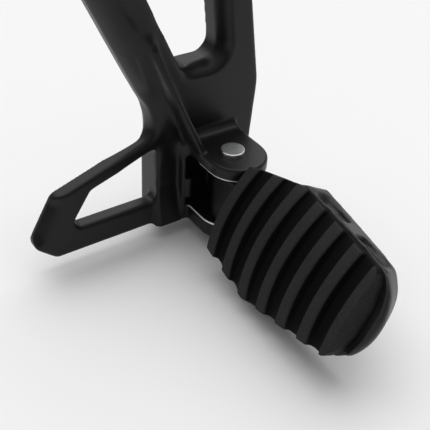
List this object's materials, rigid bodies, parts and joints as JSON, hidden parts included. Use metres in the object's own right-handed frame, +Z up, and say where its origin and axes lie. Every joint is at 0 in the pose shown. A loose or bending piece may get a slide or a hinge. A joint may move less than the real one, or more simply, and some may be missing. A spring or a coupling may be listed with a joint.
{
  "type": "motorcycle passenger footpeg",
  "caption": "Folding rubber-topped motorcycle passenger footpeg, hinged by a headed pin in the clevis of its forked cast hanger bracket with an open triangular fin.",
  "frame": {"origin": "middle of the line between the centres of the frame bolt holes, on the bracket's flat back face", "axes": "+Z up along the pivot pin as pictured, +Y out of the bracket's back face towards the motorcycle's frame, +X to the right seen from the peg's side"},
  "size_m": [0.1109, 0.1355, 0.1576],
  "materials": {
    "bracket_coat": "satin powder coat",
    "peg_coat": "satin",
    "rubber": "matte",
    "zinc_steel": "zinc plated",
    "spring_steel": "dark",
    "ball_steel": "polished",
    "brass": "plain"
  },
  "bodies": {
    "hanger": {"bracket": "bracket_coat", "pivot_pin": "zinc_steel", "pin_washer": "zinc_steel", "pin_clip": "spring_steel"},
    "peg": {"peg_body": "peg_coat", "rubber_pad": "rubber", "pad_screws": "zinc_steel", "pad_inserts": "brass", "detent_spring": "spring_steel"},
    "detent": {"detent_ball": "ball_steel"}
  },
  "joints": [
    {"name": "peg_fold", "type": "hinge", "parent": "hanger", "child": "peg", "pos_m": [0.025, -0.034, -0.1175], "axis": [0, 0, -1], "range_deg": [0, 70]},
    {"name": "detent_slide", "type": "slide", "parent": "peg", "child": "detent", "axis": [0, 0, 1], "range_m": [-0.0003, 0.0007], "stiffness_N_per_m": 2000, "deforming": ["detent_spring"]}
  ]
}
